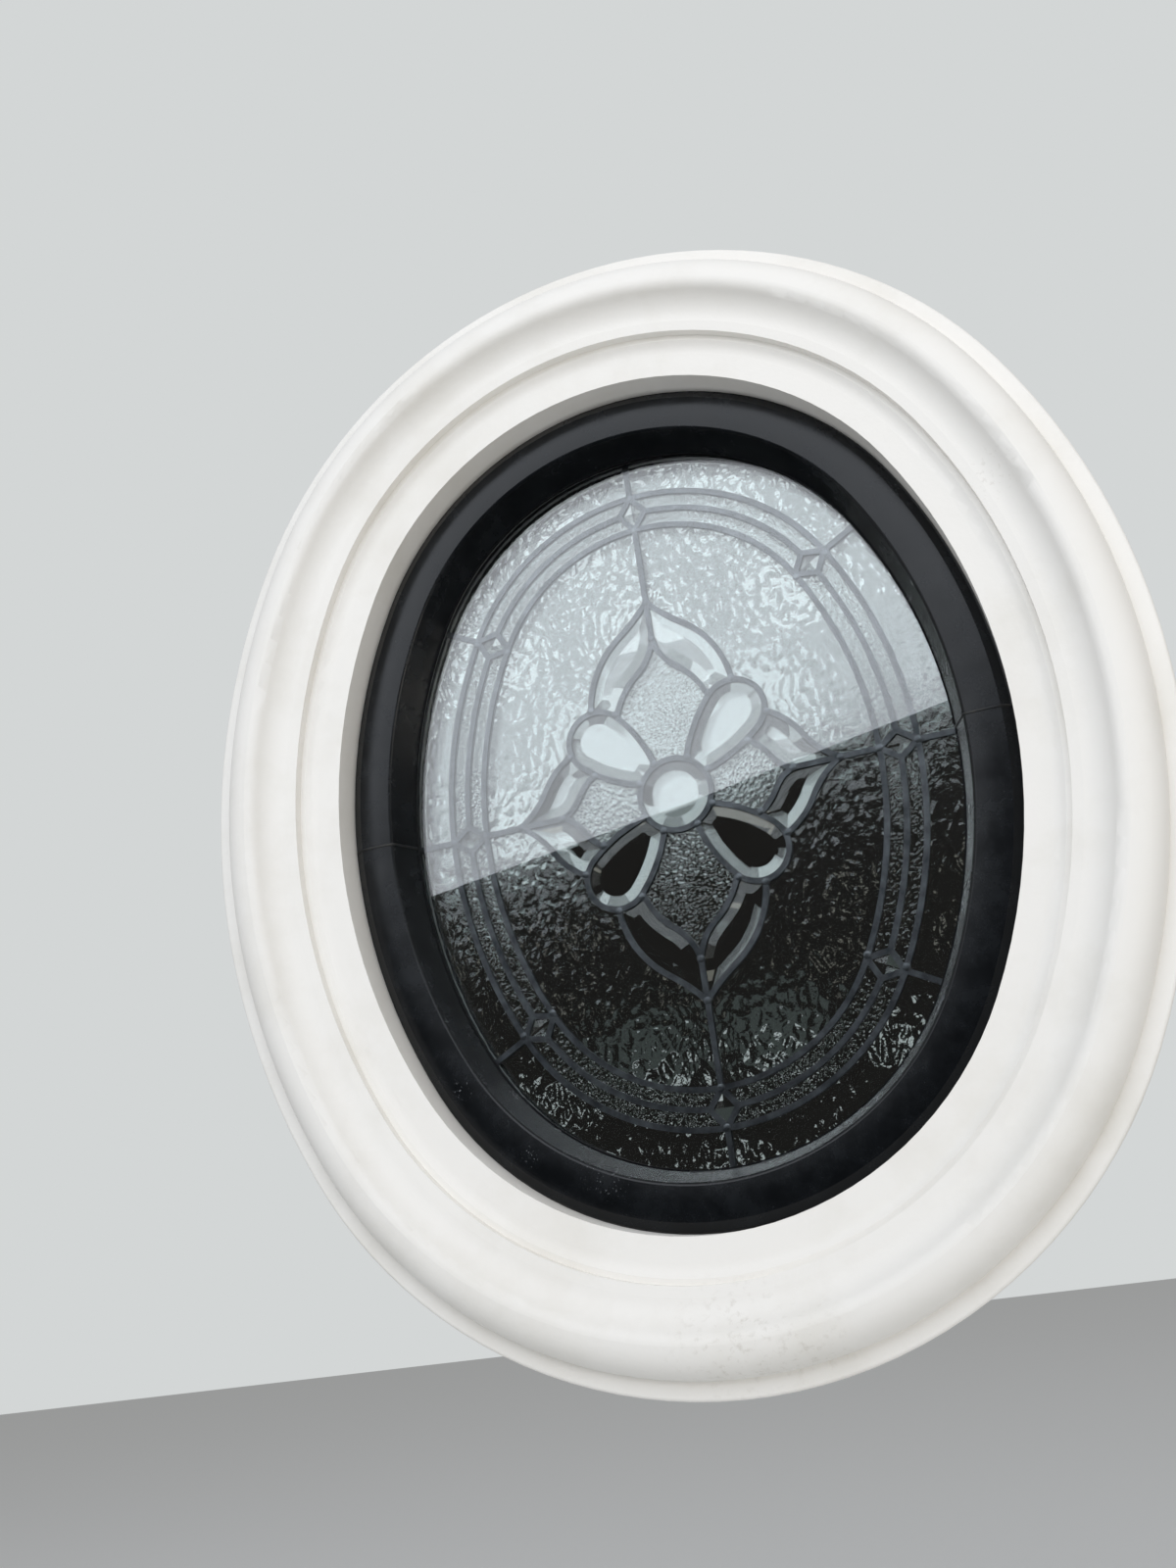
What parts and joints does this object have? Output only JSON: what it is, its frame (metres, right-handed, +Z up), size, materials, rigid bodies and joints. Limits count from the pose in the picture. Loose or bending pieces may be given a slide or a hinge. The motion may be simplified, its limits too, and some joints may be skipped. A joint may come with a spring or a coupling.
{
  "type": "oval window",
  "caption": "Upright oval fixed window with a leaded pattern panel sealed between clear panes, a dark moulded frame with a fixing fin, and a stepped roll surround.",
  "frame": {"origin": "middle of the oval, in the plane of the back of the frame's fixing fin, which lies on the wall", "axes": "+X to the right seen from outside, +Z up, and -Y out of the wall, towards the outside"},
  "size_m": [0.8812, 0.139, 1.0412],
  "materials": {
    "surround_paint": "white exterior paint, slightly weathered",
    "frame_black": "satin black",
    "bead_black": "satin black",
    "gasket_rubber": "matt black",
    "joint_sealant": "skinned, slightly dirty",
    "block_plastic": "moulded",
    "pane_glass": "clear float glass",
    "spacer_aluminium": "mill finish",
    "edge_sealant": "black",
    "came_metal": "dull grey",
    "bevelled_glass": "clear with ground and polished bevels",
    "wavy_glass": "clear, rolled with a wavy face",
    "granite_glass": "clear, rolled with a fine granite face"
  },
  "bodies": {
    "root": {"surround_moulding": "surround_paint", "frame_upper_half": "frame_black", "frame_lower_half": "frame_black", "perimeter_sealant": "joint_sealant", "outer_gasket": "gasket_rubber", "inner_gasket": "gasket_rubber", "glazing_bead_upper": "bead_black", "glazing_bead_lower": "bead_black", "setting_blocks": "block_plastic", "outer_pane": "pane_glass", "inner_pane": "pane_glass", "spacer_front": "spacer_aluminium", "spacer_rear": "spacer_aluminium", "edge_seal": "edge_sealant", "jewel_came": "came_metal", "petal_cames": "came_metal", "heart_cames": "came_metal", "tip_cames": "came_metal", "stem_cames": "came_metal", "inner_spoke_cames": "came_metal", "inner_border_came": "came_metal", "middle_border_cames": "came_metal", "outer_border_came": "came_metal", "diamond_cames": "came_metal", "outer_spoke_cames": "came_metal", "edge_came": "came_metal", "centre_jewel": "bevelled_glass", "diamond_glass": "bevelled_glass", "petal_upper_right": "bevelled_glass", "short_tip_upper_right": "bevelled_glass", "long_tip_upper_right": "bevelled_glass", "field_upper_right": "wavy_glass", "petal_upper_left": "bevelled_glass", "short_tip_upper_left": "bevelled_glass", "long_tip_upper_left": "bevelled_glass", "field_upper_left": "wavy_glass", "petal_lower_left": "bevelled_glass", "short_tip_lower_left": "bevelled_glass", "long_tip_lower_left": "bevelled_glass", "field_lower_left": "wavy_glass", "petal_lower_right": "bevelled_glass", "short_tip_lower_right": "bevelled_glass", "long_tip_lower_right": "bevelled_glass", "field_lower_right": "wavy_glass", "heart_right": "granite_glass", "heart_top": "granite_glass", "heart_left": "granite_glass", "heart_bottom": "granite_glass", "inner_border_glass": "granite_glass", "outer_border_glass": "granite_glass", "outer_field_glass": "wavy_glass"}
  },
  "joints": []
}
